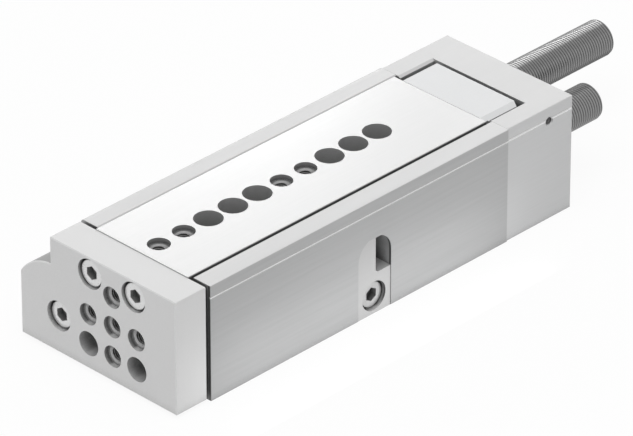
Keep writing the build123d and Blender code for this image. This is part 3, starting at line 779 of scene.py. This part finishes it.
screw_pair("yoke_screws", FORWARD, M5, "slide")
screws("rod_screw", FORWARD, (head_corners("rod_screw", M5)[0],), M5, "slide", SURFACES["screws"])
screws("stop_block_screw", NEAR, (head_corners("stop_block_screw", M5)[0],), M5, "housing", POCKET_SCREW)
screw_pair("stop_plate_screws", BACKWARD, M4, "slide")
screws("rear_block_screws", BACKWARD, rear_block_screw_spots(), M4, "housing", SURFACES["screws"])
stop_sleeve("retract_stop_sleeve", "retract_stop", HIGHLIGHTED_SLEEVE)
stop_sleeve("advance_stop_sleeve", "advance_stop", SHADED_SLEEVE)
lock_nut("retract_lock_nut", "housing", SURFACES["sleeves"])


# Thread ridges, because the solids' tapped holes are plain
def slide_hole_spots():
    """The tapped holes of the slide: a pair at each of two mounts in its row."""
    for name in ("slide_threads_front", "slide_threads_middle"):
        middle = mounts[name]["pos_m"]
        for side in (-1, 1):
            yield middle[0] + side * HOLE_PITCH / 2, middle[1], slide.high.z - SEAT_DEPTH


def yoke_hole_spots():
    """The tapped holes of the yoke: a cross of five."""
    middle = mounts["yoke_threads"]["pos_m"]
    for across, up in ((0, 0), (1, 0), (-1, 0), (0, 1), (0, -1)):
        yield yoke.high.x - SEAT_DEPTH, middle[1] + across * HOLE_PITCH, middle[2] + up * HOLE_PITCH


thread_ridges("slide_thread_ridges", slide_hole_spots(), UP, slide.high.z - slide.low.z,
              TAPPED_WALL)
thread_ridges("yoke_thread_ridges", yoke_hole_spots(), FORWARD, yoke.high.x - yoke.low.x,
              TAPPED_WALL)


# Camera: fitted to the photograph, around the foot of the housing's front
CAMERA_AZIMUTH = math.radians(134.641)
CAMERA_ELEVATION = math.radians(31.150)
CAMERA_LENS = 381.81
CAMERA_SENSOR = 36.0
CAMERA_DISTANCE = 1948.84 * MM
CAMERA_RIGHT = -49.29 * MM
CAMERA_UP = -43.14 * MM
CAMERA_NEAREST = 0.05
CAMERA_FARTHEST = 50.0


def make_camera():
    level = math.cos(CAMERA_ELEVATION)
    back = Vector((math.sin(CAMERA_AZIMUTH) * level, -math.cos(CAMERA_AZIMUTH) * level,
                   math.sin(CAMERA_ELEVATION)))
    right = Vector((math.cos(CAMERA_AZIMUTH), math.sin(CAMERA_AZIMUTH), 0.0))
    up = back.cross(right)
    front = Vector((housing.high.x, 0, 0))
    place = front + back * CAMERA_DISTANCE - right * CAMERA_RIGHT - up * CAMERA_UP
    camera = bpy.data.objects.new("camera", bpy.data.cameras.new("camera"))
    bpy.context.scene.collection.objects.link(camera)
    camera.matrix_world = Matrix.Translation(place) @ Matrix((right, up, back)).transposed().to_4x4()
    camera.data.lens = CAMERA_LENS
    camera.data.sensor_width = CAMERA_SENSOR
    camera.data.clip_start = CAMERA_NEAREST
    camera.data.clip_end = CAMERA_FARTHEST
    bpy.context.scene.camera = camera


make_camera()


# Light, floor and surroundings
FLOOR_REACH = 4.0
FLOOR_GAP = 0.02 * MM
FLOOR_TONE = 0.8
FLOOR_ROUGHNESS = 0.9
FLOOR_WHITE = 0.92
WORLD_STRENGTH = 0.5
PART_ORIGIN = (0, 0, 0)
SLEEVE_ROOTS = (-0.115, -0.012, 0.0216)
HOUSING_FOOT = (0.0175, 0.0, 0.004)


def area_light(name, place, target, size, power, mirrored=True):
    """A rectangular lamp that the camera doesn't see. Mirrored says if glossy surfaces show it."""
    light = bpy.data.lights.new(name, "AREA")
    light.shape = "RECTANGLE"
    light.size, light.size_y = size
    light.energy = power
    lamp = bpy.data.objects.new(name, light)
    bpy.context.scene.collection.objects.link(lamp)
    lamp.location = place
    lamp.rotation_mode = "QUATERNION"
    lamp.rotation_quaternion = (Vector(target) - Vector(place)).to_track_quat("-Z", "Y")
    lamp.visible_camera = False
    lamp.visible_glossy = mirrored


def white_for_view(tree, shaded_output, share, target):
    """Mixes plain white into what the camera and mirror-like rays see, and keeps part of the shade."""
    path = tree.nodes.new("ShaderNodeLightPath")
    seen = calculate(tree, "MAXIMUM", path.outputs["Is Camera Ray"], path.outputs["Is Glossy Ray"])
    seen = calculate(tree, "MAXIMUM", seen, path.outputs["Is Transmission Ray"])
    white = tree.nodes.new("ShaderNodeEmission")
    white.inputs["Strength"].default_value = 1.0
    mix = tree.nodes.new("ShaderNodeMixShader")
    tree.links.new(rise(tree, seen, 0.0, 1.0, share), mix.inputs["Fac"])
    tree.links.new(shaded_output, mix.inputs[1])
    tree.links.new(white.outputs[0], mix.inputs[2])
    tree.links.new(mix.outputs[0], target)


def make_floor():
    mesh = bpy.data.meshes.new("floor")
    corners = [(across * FLOOR_REACH, along_side * FLOOR_REACH, 0)
               for across, along_side in ((-1, -1), (1, -1), (1, 1), (-1, 1))]
    mesh.from_pydata(corners, [], [(0, 1, 2, 3)])
    floor = bpy.data.objects.new("floor", mesh)
    bpy.context.scene.collection.objects.link(floor)
    floor.location.z = cad_box[0].z - FLOOR_GAP
    material, tree, shader = node_tree("pale_floor")
    shader.inputs["Base Color"].default_value = grey(FLOOR_TONE)
    shader.inputs["Roughness"].default_value = FLOOR_ROUGHNESS
    white_for_view(tree, shader.outputs[0], FLOOR_WHITE, tree.nodes["Material Output"].inputs["Surface"])
    mesh.materials.append(material)


def make_world():
    world = bpy.data.worlds.new("studio")
    bpy.context.scene.world = world
    world.use_nodes = True
    tree = world.node_tree
    backdrop = tree.nodes["Background"]
    backdrop.inputs["Color"].default_value = grey(1.0)
    backdrop.inputs["Strength"].default_value = WORLD_STRENGTH
    white_for_view(tree, backdrop.outputs[0], 1.0, tree.nodes["World Output"].inputs["Surface"])


make_floor()
make_world()
area_light("overhead", (0.25, 0.2, 1.1), PART_ORIGIN, size=(1.0, 1.0), power=9.0, mirrored=False)
area_light("rim", (-0.69, -1.02, 0.62), PART_ORIGIN, size=(0.5, 0.12), power=0.93)
area_light("rear_accent", (-0.328, -0.255, 0.157), SLEEVE_ROOTS, size=(0.16, 0.08), power=0.07)
area_light("sleeve_accent", (-0.328, -0.131, 0.273), SLEEVE_ROOTS, size=(0.16, 0.06), power=0.04)
area_light("low_strip", (0.0175, 0.049, 0.004), HOUSING_FOOT, size=(0.125, 0.005), power=0.011,
           mirrored=False)
bpy.context.scene.view_settings.view_transform = "Standard"
